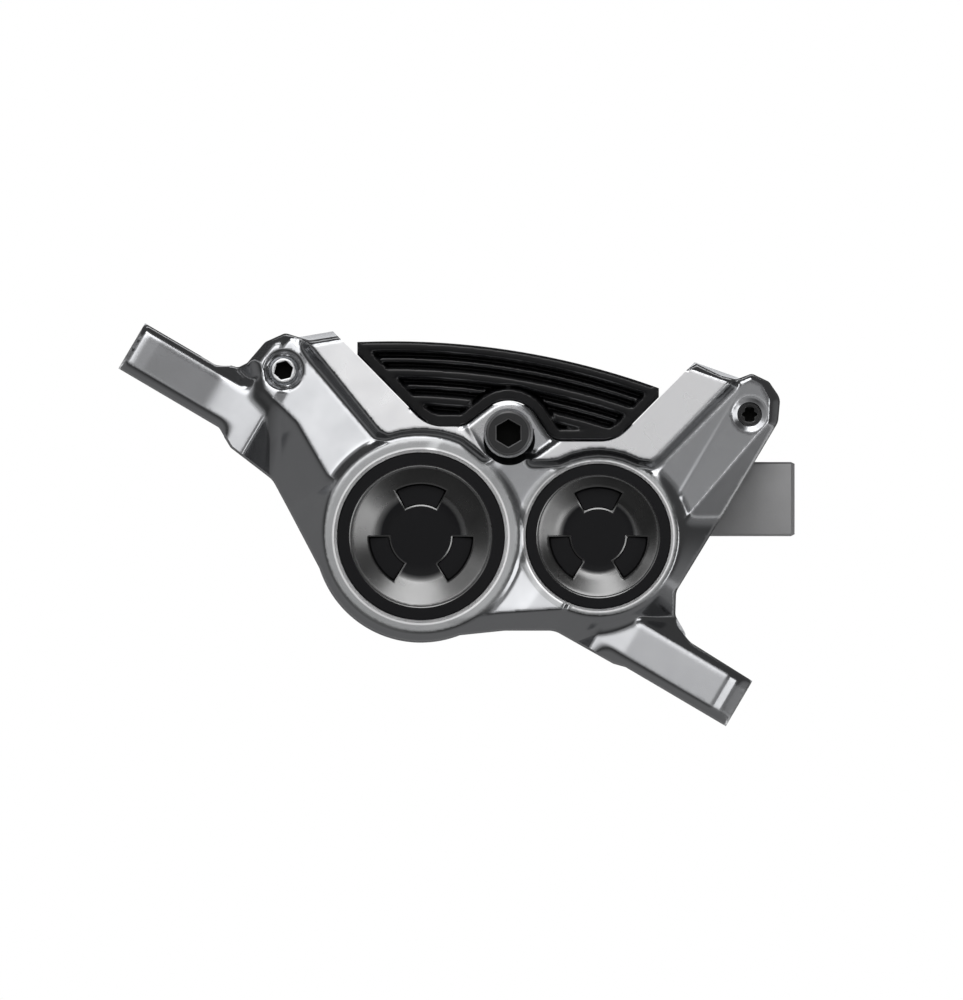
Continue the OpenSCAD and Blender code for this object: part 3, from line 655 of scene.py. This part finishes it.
def forms(p):
    """Height of the forging before the bolt plane at points of the bore frame, with crisp edges."""
    s = sizes("body")
    m = np.array(BORE_FRAME)
    x = m[0, 0] * p[:, 0] + m[0, 2] * p[:, 1] + m[0, 3]
    z = m[2, 0] * p[:, 0] + m[2, 2] * p[:, 1] + m[2, 3]
    large = np.hypot(*(p - LARGE_BORE).T)
    small = np.hypot(*(p - SMALL_BORE).T)
    boss = np.hypot(*(p - AXLE).T)
    b = s.ear_round
    side = np.maximum(np.abs(z - EAR_T / 2) - (EAR_T / 2 - b), 0)

    # The ears' faces lean a little, and end in a shallow bevel and a rounding
    end = x + EAR_END
    left_ear = s.ear + np.interp(end, (0, 1.35, 3, 20), (-0.18, -0.152, -0.21, -1.2))
    left_ear += ease((x + 35) / 9)
    left_ear -= np.maximum(x + 27, 0)
    left_ear -= over(np.hypot(np.maximum(0.8 - end, 0) * b / 0.8, side * ease((-29 - x) / 3)), b)
    end = EAR_END - x
    right_ear = s.ear - 0.5 * ease((30.5 - x) / 4.5) - 1.2 * np.maximum(26 - x, 0)
    right_ear -= 0.34 * np.maximum(3.0 - end, 0) + 0.6 * np.maximum(1.9 - end, 0) ** 2
    right_ear -= over(side * ease((x - 26) / 3), b)
    left_lug = s.lug - leaning(p, (-25, 17), 0.06) - fall(outside(p, LEFT_LUG), 0.95, 0.5)
    right_lug = s.lug + leaning(p, (27, 11), 0.112) - fall(outside(p, RIGHT_LUG), 1.7, 0.5)
    top = merged(left_lug, left_ear, s.fillet)
    top = merged(top, right_lug, s.fillet)
    top = merged(top, right_ear, s.fillet)
    top = merged(top, 8.8 - fall(small - SMALL_RING, 1.35, 0.4), 1.3)
    top = merged(top, 9.4 - fall(large - LARGE_RING, 1.5, 0.7), 0.9)
    twist = 0.0045 * np.clip(p[:, 1], -9.5, 9) * np.clip((p - (0.7, 0)) @ np.array((-0.8, 0.6)), -7, 7)
    past, reach = np.maximum(outside(p, WEB), 0), 1.3 * ease((p[:, 1] - 2) / 6)
    top = merged(top, s.web + twist - 0.3 * np.minimum(past, reach) - drop(past - reach, 1.6), 0.5)
    top = merged(top, s.band - leaning(p, (-4, 11.5), 0.024) - drop(outside(p, LEFT_BAND), 1.75), 0.8)
    top = merged(top, s.band + leaning(p, (6, 11), 0.022) - drop(outside(p, RIGHT_BAND), 1.8), 0.6)
    # The boss of the axle is a shallow dish with a wing at each side, and the left wing stops at its band
    wings = 10.1 + 0.03 * (boss - 3.4) + leaning(p, AXLE, 0.07)
    wings -= 2.0 * np.maximum((p - (-3.4, 10.7)) @ np.array((-0.852, -0.524)), 0)
    wings = wings - 1.8 * np.maximum(boss - 6.4, 0) - 2.0 * np.maximum(AXLE[1] - 2.4 - p[:, 1], 0)
    top = merged(top, wings, 0.3)
    for at, _, rim, wall, cone in RECESSES:
        r = np.hypot(*(p - at).T)
        top = top - wall * ease((rim - r) / 0.16) - cone * np.maximum(rim - 0.12 - r, 0)
    return top


def height(p):
    """The forms as polishing leaves them: edges softened, and the outline and the window rounded over."""
    s = sizes("body")
    steps = [(0.0, 0.0)] + circle((0, 0), s.soft * 0.55, 6) + circle((0, 0), s.soft, 9)
    top = sum(forms(p + np.array(step)) for step in steps) / len(steps)
    near_boss = ease(7 - np.hypot(*(p - AXLE).T))
    top = top - 2.4 * np.maximum(s.rim + outside(p, OUTLINE), 0)
    top = top - 1.7 * np.clip(CRESCENT[1] - np.hypot(*(p - CRESCENT[0]).T), 0, 1.3)
    return np.maximum(top - 0.5 * near_boss * np.maximum(0.34 - outside(p, WINDOW), 0), 1.2)


def triangulated(outline, holes, edges, open_edges, grain):
    """Triangles of about one grain that fill the outline outside its holes and follow every edge line."""
    points, lines = [], []

    def lay(path, closed=True):
        start = len(points)
        path = [np.array(q[:2], float) for q in path]
        for i, a in enumerate(path if closed else path[:-1]):
            c = path[(i + 1) % len(path)]
            parts = max(1, round(float(np.hypot(*(c - a))) / grain))
            points.extend(a + (c - a) * k / parts for k in range(parts))
        if not closed:
            points.append(path[-1])
        n = len(points) - start
        lines.extend((start + i, start + (i + 1) % n) for i in range(n if closed else n - 1))

    for path in [outline, *holes, *edges]:
        lay(path)
    for path in open_edges:
        lay(path, False)
    fixed = np.array(points)
    lo, hi = np.array(outline).min(0), np.array(outline).max(0)
    cols, rows = ((hi - lo) / grain).astype(int)
    grid = np.array([(lo[0] + (i + 0.5 * (j % 2)) * grain, lo[1] + j * grain * 0.87)
        for j in range(int(rows / 0.87) + 1) for i in range(cols + 1)])
    grid = grid[outside(grid, outline) < -0.4 * grain]
    cell = {tuple(q) for q in np.floor(fixed / (0.55 * grain)).astype(int)}
    grid = grid[np.array([tuple(q) not in cell for q in np.floor(grid / (0.55 * grain)).astype(int)])]
    flat, _, faces, *_ = delaunay_2d_cdt([Vector(q) for q in np.vstack([fixed, grid])], lines, [], 0, 1e-5)
    flat = np.array([tuple(q) for q in flat])
    faces = np.array([f for f in faces if len(f) == 3])
    middle = flat[faces].mean(1)
    good = outside(middle, outline) < 0
    for path in holes:
        good &= outside(middle, path) > 0
    faces = faces[good]
    used = np.unique(faces)
    index = np.full(len(flat), -1)
    index[used] = np.arange(len(used))
    return flat[used], index[faces]


def relief(name, outline, holes, edges, open_edges, grain, front, back):
    """A solid whose two sides stand at the depths that front and back give for points of the outline."""
    flat, faces = triangulated(outline, holes, edges, open_edges, grain)
    mesh = bpy.data.meshes.new(name)
    mesh.from_pydata([(u, 0, w) for u, w in flat], [], faces.tolist())
    piece = bpy.data.objects.new(name, mesh)
    bpy.context.scene.collection.objects.link(piece)
    edit(piece)
    bpy.ops.mesh.extrude_region_move(TRANSFORM_OT_translate={"value": (0, 1, 0)})
    bpy.ops.object.mode_set(mode="OBJECT")
    co = np.zeros(len(mesh.vertices) * 3)
    mesh.vertices.foreach_get("co", co)
    co = co.reshape(-1, 3)
    near = co[:, 1] < 0.5
    co[near, 1] = front(co[near][:, [0, 2]])
    co[~near, 1] = back(co[~near][:, [0, 2]])
    mesh.vertices.foreach_set("co", co.ravel())
    mesh.update()
    outwards(piece)
    return piece


def runs(path, keep):
    """The stretches of a path whose points are kept."""
    out = [[]]
    for q, kept in zip(path, keep):
        if kept:
            out[-1].append(q)
        elif out[-1]:
            out.append([])
    return [r for r in out if len(r) > 3]


def body_front():
    """The outer side of the forging, from its faces back to a plane inside it."""
    s = sizes("body")
    b = s.ear_round
    holes = [WINDOW, circle(LARGE_BORE, 11.6, 160), circle(SMALL_BORE, 10.0, 144), circle(AXLE, 3.3, 64),
        circle(BLEED, 2.05, 48), circle(PLUG, 1.65, 48)]
    edges = [path for crisp in (LEFT_BAND, RIGHT_BAND, WEB) for path in (crisp, grown(crisp, CRISP))]
    edges += [LEFT_LUG, RIGHT_LUG, circle(LARGE_BORE, LARGE_RING), circle(SMALL_BORE, SMALL_RING)]
    edges += [arc(*CRESCENT, 180, 360, 40) + arc(*CRESCENT, 0, 180, 40)[1:-1]]
    edges += [circle(at, r, 64) for at, foot, rim, *_ in RECESSES for r in (foot, rim)]
    ears = [from_row([(side * x, z) for x, z in ((33, b), (EAR_END - b, b), (EAR_END - b, EAR_T - b),
        (33, EAR_T - b))]) for side in (-1, 1)]
    rim = grown(OUTLINE, -s.rim)
    rim = runs(rim, outside(np.array(rim), OUTLINE) < -0.9 * s.rim)
    return relief("front", OUTLINE, holes, edges, ears + rim, s.grain, lambda p: -height(p),
        lambda p: np.full(len(p), FRONT_BACK))


class CALIPER_OT_body(bpy.types.Operator):
    """The silver forging with its machined bands, ears and bores"""

    bl_idname = "caliper.body"
    bl_label = "Body"

    def execute(self, context):
        front = body_front()
        front.data.transform(BORE_FRAME)
        for side in (-1, 1):
            x = side * BOLT_X
            corners = (-1, -1), (1, -1), (1, 1), (-1, 1)
            slot = rounded([(x + a * SLOT_W, b * SLOT_L, 3.2) for a, b in corners], 12)
            cutter = stack("slot", [(-1, slot), (9, slot)])
            cutter.data.transform(Matrix(((1, 0, 0, 0), (0, 0, 1, 0), (0, 1, 0, 0), (0, 0, 0, 1))))
            outwards(cutter)
            boolean(front, cutter)
        rear = copied("caliper_body", "rear")
        edit(rear)
        bpy.ops.mesh.bisect(plane_co=(0, FRONT_BACK, 0), plane_no=(0, 1, 0), use_fill=True, clear_inner=True)
        bpy.ops.mesh.select_all(action="SELECT")
        bpy.ops.mesh.remove_doubles(threshold=0.01)
        bpy.ops.mesh.dissolve_degenerate(threshold=0.001)
        bpy.ops.object.mode_set(mode="OBJECT")
        bevel(rear, 0.35, 40)
        cutter = stack("window", [(0, WINDOW), (32, WINDOW)])
        cutter.data.transform(BORE_FRAME)
        boolean(rear, cutter)
        body = joined([front, rear], "body_forging")
        finish = forged_aluminium(sizes("colours"))
        placed(body, "caliper", finish, ["caliper_body"], bore=False, smooth=48)
        modify(body, "WEIGHTED_NORMAL", keep_sharp=True)
        return {"FINISHED"}


class CALIPER_OT_caps(bpy.types.Operator):
    """The two dished caps that close the outer bores"""

    bl_idname = "caliper.caps"
    bl_label = "Bore caps"

    def execute(self, context):
        s = sizes("caps")
        finish = turned_black(sizes("colours"))
        for name, (centre, flange, thread, dish, flat, face) in CAPS.items():
            seat, core, groove = face + 1.8, thread - 1.2, face + 2.2
            slots = [arc(centre, flat + 1.7, turn - 29.5, turn + 29.5, 16)
                + arc(centre, flat - 1.1, turn + 29.5, turn - 29.5, 16) for turn in (90, 210, 330)]

            def front(p):
                r = np.hypot(*(p - centre).T)
                cone = s.dish * (dish - r) / (dish - flat)
                depth = -merged(-merged(cone, 0 * r, 0.12), -s.dish + 0 * r, 0.5)
                for slot in slots:
                    d = -outside(p, slot)
                    depth = depth + np.clip(d + 0.18, 0, 0.18) * 0.4
                    depth = depth + (s.dish + s.slot_depth - depth) * np.clip(d / s.wall, 0, 1)
                line = 0.4 * np.maximum(0.13 - np.abs(r - dish - 0.13), 0)
                return face + depth + line + 3.0 * np.maximum(r - flange + 0.12, 0)

            def back(p):
                return np.where(np.hypot(*(p - centre).T) > core - 0.01, seat, -1.5)

            radii = core, core - 0.03, dish, dish + 0.13, dish + 0.26, flat, flange - 0.12
            edges = [circle(centre, r) for r in radii]
            edges += [grown(slot, d) for slot in slots for d in (-s.wall, 0, 0.18)]
            cap = relief(name, circle(centre, flange, 160), [], edges, [], s.grain, front, back)
            lands = [lathe("land", centre, [(thread, y0), (thread, y1)])
                for y0, y1 in ((seat, groove), (groove + 1.5, -1.5))]
            cap = joined([cap] + lands, name + "_dished_cap")
            placed(cap, "caliper", finish, [name + "_bore_cap"], smooth=16)
        return {"FINISHED"}


class CALIPER_OT_screws(bpy.types.Operator):
    """The pad axle, the bleed screw and the passage plug"""

    bl_idname = "caliper.screws"
    bl_label = "Axle and screws"

    def execute(self, context):
        colours = sizes("colours")
        axle = lathe("pad_axle_bolt", AXLE, [(2.2, -10.5), (2.7, -10.5), (2.96, -10.37), (3.0, -10.2),
            (3.0, -6.9), (2.0, -6.9), (2.0, 33.8), (1.5, 33.8), (1.5, 34.36), (2.0, 34.36), (2.0, 35.4),
            (1.5, 35.9)], 64)
        socket = hexagon(AXLE, 3.2, 30)
        boolean(axle, stack("hex", [(-10.57, grown(socket, 0.3)), (-10.43, socket), (-8, socket)]))
        # Painted shade: the axle's socket faces get the near-black material
        painted_socket_shade(axle, AXLE, 1.95, -10.38, oxide_black(), socket_shade_and_grime())
        placed(axle, "caliper", None, ["pad_axle"], smooth=20)

        screw = lathe("bleed_grub_screw", BLEED, [(1.4, -7.5), (1.6, -7.5), (1.66, -7.4), (1.66, -6.9),
            (2.0, -6.6), (2.0, -4.9), (1.4, -4.9), (1.4, -3.9), (2.0, -3.9), (2.0, -3.05)], 64)
        socket = hexagon(BLEED, 2.25, 15)
        boolean(screw, stack("hex", [(-8, socket), (-5.6, socket)]))
        bevel(screw, 0.06)
        # Painted shade: the bleed screw's socket faces get the near-black material
        painted_socket_shade(screw, BLEED, 1.32, -7.4, bright_steel(colours), socket_shade_and_grime())
        placed(screw, "bleed_screw", None, ["bleed_screw"])

        plug = lathe("passage_plug", PLUG, [(1.0, -7.1), (1.15, -7.2), (1.4, -7.2), (1.56, -7.1),
            (1.6, -6.95), (1.6, -4.9), (1.0, -4.9), (1.0, -3.9), (1.6, -3.9), (1.6, -3.05)], 64)
        lobes = []
        for i in range(72):
            t = i * math.pi / 36
            r = 0.88 + 0.16 * math.cos(6 * t)
            lobes.append((PLUG[0] + r * math.cos(t), PLUG[1] + r * math.sin(t)))
        boolean(plug, stack("lobes", [(-8, lobes), (-5.6, lobes)]))
        bevel(plug, 0.05, 40)
        # Painted shade: the plug's socket faces get the near-black material
        painted_socket_shade(plug, PLUG, 1.06, -7.1, oxide_black(), socket_shade_and_grime())
        placed(plug, "caliper", None, ["passage_plug_screw"])
        return {"FINISHED"}


def finned_plate(name):
    """The pad's radiator: arched ribs, wide and thin in turn, inside a flat border."""
    s = sizes("fins")
    inset = grown(WINDOW, -0.12)
    low = [q for q in inset if FIN_LEFT < q[0] < FIN_RIGHT]
    # The bottom runs on along the window's two sloping sides as far as the ends
    ends = [(FIN_LEFT, low[0][1] + (low[0][0] - FIN_LEFT) * 20.1 / 19.75)]
    ends += [(FIN_RIGHT, low[-1][1] + (FIN_RIGHT - low[-1][0]) * 22.1 / 21.8)]
    turn = [math.degrees(math.acos((u - FIN_ARC[0]) / FIN_R)) for u in (FIN_RIGHT, FIN_LEFT)]
    outline = [ends[0]] + low + [ends[1]] + arc(FIN_ARC, FIN_R, turn[0], turn[1], 60)
    ribs = []
    for i in range(4):
        middle = FIN_R - i * s.pitch - s.wide / 2
        ribs.append((middle, s.wide / 2, 0.5, FIN_FRONT))
        ribs.append((middle - s.pitch / 2, s.thin / 2, 0.2, FIN_FRONT + 0.6))

    def front(p):
        inwards = -outside(p, inset)
        clear = np.hypot(*(p - AXLE).T) - 6.3
        r = np.hypot(*(p - FIN_ARC).T)
        depth = FIN_FRONT + over(0.3 - inwards, 0.3) + over(inwards - s.border + 0.3, 0.3)
        depth += RIB_SLOPE * np.maximum(inwards - s.border, 0)
        for middle, half, round_off, top in ribs:
            d = np.abs(r - middle)
            rib = top + over(d - half + round_off, round_off) + RIB_SLOPE * np.maximum(d - half, 0)
            rib += over(0.4 - clear, 0.4) + RIB_SLOPE * np.maximum(-clear, 0)
            depth = np.minimum(depth, rib)
        return np.minimum(depth, FIN_BASE)

    lines = []
    for middle, half, *_ in ribs:
        for d in (half, half + 0.3):
            for r in (middle - d, middle + d):
                path = arc(FIN_ARC, r, turn[0], turn[1], 130)
                at = np.array(path)
                lines += runs(path, (outside(at, outline) < -s.border) & (np.hypot(*(at - AXLE).T) > 6.4))
    for inner in (grown(inset, -s.border), grown(inset, 0.3 - s.border), grown(inset, -0.3)):
        at = np.array(inner)
        lines += runs(inner, (outside(at, outline) < -0.05) & (np.hypot(*(at - FIN_ARC).T) < FIN_R - s.wide))
    return relief(name, outline, [], [], lines, s.grain, front, lambda p: np.full(len(p), FIN_BACK))


class CALIPER_OT_pads(bpy.types.Operator):
    """The two pads with their plates and fins, and the spring between them"""

    bl_idname = "caliper.pads"
    bl_label = "Pads"

    def execute(self, context):
        black, plate, resin = fin_black(), pressed_steel(), resin_pad()
        for side in ("outer", "inner"):
            body = side + "_pad"
            fins = finned_plate(body + "_fins")
            if side == "inner":
                fins.data.transform(Matrix.Translation((0, 2 * DISC_Y, 0)) @ Matrix.Scale(-1, 4, (0, 1, 0)))
                outwards(fins)
            placed(fins, body, black, [body + "_radiator"], smooth=60)
            dressed(body + "_plate", body + "_backing", 0.15, body, plate)
            dressed(body + "_friction", body + "_lining", 0.15, body, resin)
        finish = spring_steel()
        spring = dressed("pad_return_spring", "return_leaf_spring", 0.06, "caliper", finish)
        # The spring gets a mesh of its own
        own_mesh(spring)
        return {"FINISHED"}


class CALIPER_OT_pistons(bpy.types.Operator):
    """The four pistons"""

    bl_idname = "caliper.pistons"
    bl_label = "Pistons"

    def execute(self, context):
        finish = ceramic()
        for side in ("outer", "inner"):
            for size in ("large", "small"):
                source = f"{side}_{size}_piston"
                dressed(source, f"{side}_{size}_cup", 0.12, source, finish)
        return {"FINISHED"}


class CALIPER_OT_port(bpy.types.Operator):
    """The block that takes the hose"""

    bl_idname = "caliper.port"
    bl_label = "Hose port"

    def execute(self, context):
        finish = port_aluminium(sizes("colours"))
        dressed("hose_port_block", "hose_block", 0.12, "caliper", finish)
        return {"FINISHED"}


class CALIPER_OT_nodes(bpy.types.Operator):
    """Finishes for the seals and the clip, which keep the frame's own shape"""

    bl_idname = "caliper.nodes"
    bl_label = "Seals and clip"

    def execute(self, context):
        black, steel = rubber(), bright_steel(sizes("colours"))
        for name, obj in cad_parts.items():
            if not obj.hide_render:
                obj.data.materials.clear()
                obj.data.materials.append(black if "oring" in name or "seal" in name else steel)
        return {"FINISHED"}


class CALIPER_OT_stage(bpy.types.Operator):
    """Camera, floor, lamps and background"""

    bl_idname = "caliper.stage"
    bl_label = "Stage"

    def execute(self, context):
        s = sizes("stage")
        deselect()
        bpy.ops.object.camera_add(location=(0.00362, -0.4, 0.00946), rotation=(math.pi / 2, -TILT, 0))
        camera = context.object
        camera.data.type = "ORTHO"
        camera.data.ortho_scale = s.view_height
        camera.data.clip_start, camera.data.clip_end = 0.01, 10
        context.scene.camera = camera
        right = Vector((math.cos(TILT), 0, math.sin(TILT)))
        up = Vector((-math.sin(TILT), 0, math.cos(TILT)))
        aim = Vector((0.0036, 0, 0.0095))

        def lamp(name, across, above, before, size, radiance, tall):
            """A soft box aimed at the caliper, as bright to the eye as radiance, where 1 is white."""
            at = aim + right * across + up * above + Vector((0, -before, 0))
            bpy.ops.object.light_add(type="AREA", location=at)
            made = context.object
            made.name = name
            made.data.shape = "RECTANGLE"
            made.data.size, made.data.size_y = size, tall
            made.data.energy = radiance * math.pi * size * tall
            made.rotation_mode = "QUATERNION"
            made.rotation_quaternion = (at - aim).to_track_quat("Z", "Y")

        lamp("top_box", 0.0, 0.36, 0.4, 0.42, 2.4, 0.22)
        lamp("right_box", 0.36, -0.12, 0.4, 0.16, 1.8, 0.34)
        lamp("near_left_box", -0.14, 0.08, 0.2, 0.16, 0.3, 0.16)
        lamp("rear_top_box", 0.0, 0.36, -0.36, 0.4, 0.7, 0.16)

        def paper(name, size, gap, colour):
            """A glowing sheet that far below the caliper, with its material's tree, shader and place."""
            bpy.ops.mesh.primitive_plane_add(size=size, location=(0, 0, CAD_BOX[0].z - gap))
            sheet = context.object
            sheet.name = name
            made, tree, shader, place = material(name + "_paper")
            fed(tree, shader, {}, Base_Color=linear(colour), Roughness=0.9, Emission_Color=(1, 1, 1, 1))
            sheet.data.materials.append(made)
            return sheet, tree, shader, place

        # The floor is pale, also in what the metal mirrors
        _, tree, shader, _ = paper("floor", s.floor, 0.0003, "#F2F2F2")
        seen = node(tree, "LightPath").outputs
        shown = maths(tree, "MAXIMUM", {0: seen["Is Camera Ray"], 1: seen["Is Glossy Ray"]})
        shown = maths(tree, "MAXIMUM", {0: shown, 1: seen["Is Transmission Ray"]})
        shown = maths(tree, "MULTIPLY", {0: shown}, in_1=0.45)
        fed(tree, shader, {"Emission Strength": shown})

        # Above it lies a card that only mirrored light sees. It glows grey below the caliper, where it fills
        # the steep slopes of the polished forging, fades to black before it, where it deepens the shallow
        # ones, and is bright again farther before it and behind it, for the views from there.
        card, tree, shader, place = paper("card", s.card, 0.0002, "#161616")
        parts = node(tree, "SeparateXYZ", {0: place}).outputs
        side = ramp(tree, parts["X"], 0.03, 0.13, 0.0, 0.08)
        depth = maths(tree, "ADD", {0: parts["Y"], 1: side})
        glow = ramp(tree, depth, -0.04, -0.012, 0.02, 0.19)
        rear = ramp(tree, maths(tree, "ABSOLUTE", {0: parts["X"]}), 0.15, 0.11, 0.0, 0.75)
        far = ramp(tree, parts["Y"], 0.05, 0.075)
        glow = maths(tree, "MULTIPLY_ADD", {0: rear, 1: far, 2: glow})
        glow = maths(tree, "ADD", {0: glow, 1: ramp(tree, parts["Y"], -0.065, -0.1, 0.0, 0.35)})
        fed(tree, shader, {"Emission Strength": glow})
        card.visible_camera = card.visible_diffuse = card.visible_shadow = card.visible_transmission = False

        # The studio: bright before the caliper on the upper left, dim elsewhere, with a white backdrop
        world = context.scene.world or bpy.data.worlds.new("studio")
        context.scene.world = world
        world.use_nodes = True
        tree = world.node_tree
        tree.nodes.clear()
        seen = node(tree, "LightPath").outputs
        way = node(tree, "TexCoord").outputs["Generated"]

        def toward(direction, low, high):
            """1 where the ray runs within the cone of that direction, softly down to 0 outside it."""
            start, end = math.cos(math.radians(high)), math.cos(math.radians(low))
            near = along(tree, way, direction.normalized())
            return ramp(tree, near, start, end, interpolation_type="SMOOTHSTEP")

        ahead = Vector((0, -1, 0))
        lean = along(tree, way, (up * 0.6 - right * 0.8).normalized())
        lean = ramp(tree, lean, -0.09, 0.09, interpolation_type="SMOOTHSTEP")
        lean = maths(tree, "MULTIPLY_ADD", {0: lean}, in_1=1.86, in_2=0.13)
        room = maths(tree, "MULTIPLY", {0: lean, 1: toward(ahead, 22, 38)})
        room = maths(tree, "ADD", {0: room}, in_1=ROOM_DARK)
        wall = toward(Vector((0.84, 0.5, -0.2)), 15, 45)
        room = maths(tree, "MULTIPLY_ADD", {0: wall, 2: room}, in_1=0.16)
        backdrop = maths(tree, "MULTIPLY", {0: toward(-ahead, 7, 15), 1: seen["Is Glossy Ray"]})
        shown = maths(tree, "MAXIMUM", {0: seen["Is Camera Ray"], 1: seen["Is Transmission Ray"]})
        shown = maths(tree, "MAXIMUM", {0: shown, 1: backdrop})
        studio = node(tree, "Background", {"Strength": room}, Color=(1, 1, 1, 1))
        white = node(tree, "Background", Color=(1, 1, 1, 1), Strength=1.0)
        mix = node(tree, "MixShader", {0: shown, 1: studio.outputs[0], 2: white.outputs[0]})
        node(tree, "OutputWorld", {"Surface": mix.outputs[0]})
        context.scene.view_settings.view_transform = "Standard"
        return {"FINISHED"}


class CALIPER_PT_panel(bpy.types.Panel):
    """Lists the sizes, the colours and the operators"""

    bl_idname = "CALIPER_PT_panel"
    bl_label = "Caliper"
    bl_space_type = "VIEW_3D"
    bl_region_type = "UI"
    bl_category = "Caliper"

    def draw(self, context):
        for group in GROUPS:
            box = self.layout.box()
            held = sizes(group)
            for key in held.bl_rna.properties.keys():
                if key not in ("rna_type", "name"):
                    box.prop(held, key)
        for step in STEPS:
            self.layout.operator(step.bl_idname)


GROUPS = {"body": BodySizes, "caps": CapSizes, "fins": FinSizes, "stage": StageSizes, "colours": Colours}
STEPS = [CALIPER_OT_stage, CALIPER_OT_body, CALIPER_OT_caps, CALIPER_OT_screws, CALIPER_OT_pads,
    CALIPER_OT_pistons, CALIPER_OT_port, CALIPER_OT_nodes]


def register():
    for cls in [*GROUPS.values(), *STEPS, CALIPER_PT_panel]:
        bpy.utils.register_class(cls)
    for name, cls in GROUPS.items():
        setattr(bpy.types.Scene, "caliper_" + name, PointerProperty(type=cls))


def unregister():
    for name in GROUPS:
        delattr(bpy.types.Scene, "caliper_" + name)
    for cls in reversed([*GROUPS.values(), *STEPS, CALIPER_PT_panel]):
        bpy.utils.unregister_class(cls)


def main():
    register()
    for step in STEPS:
        group, name = step.bl_idname.split(".")
        getattr(getattr(bpy.ops, group), name)()
    bpy.context.view_layer.update()


if __name__ == "__main__":
    main()
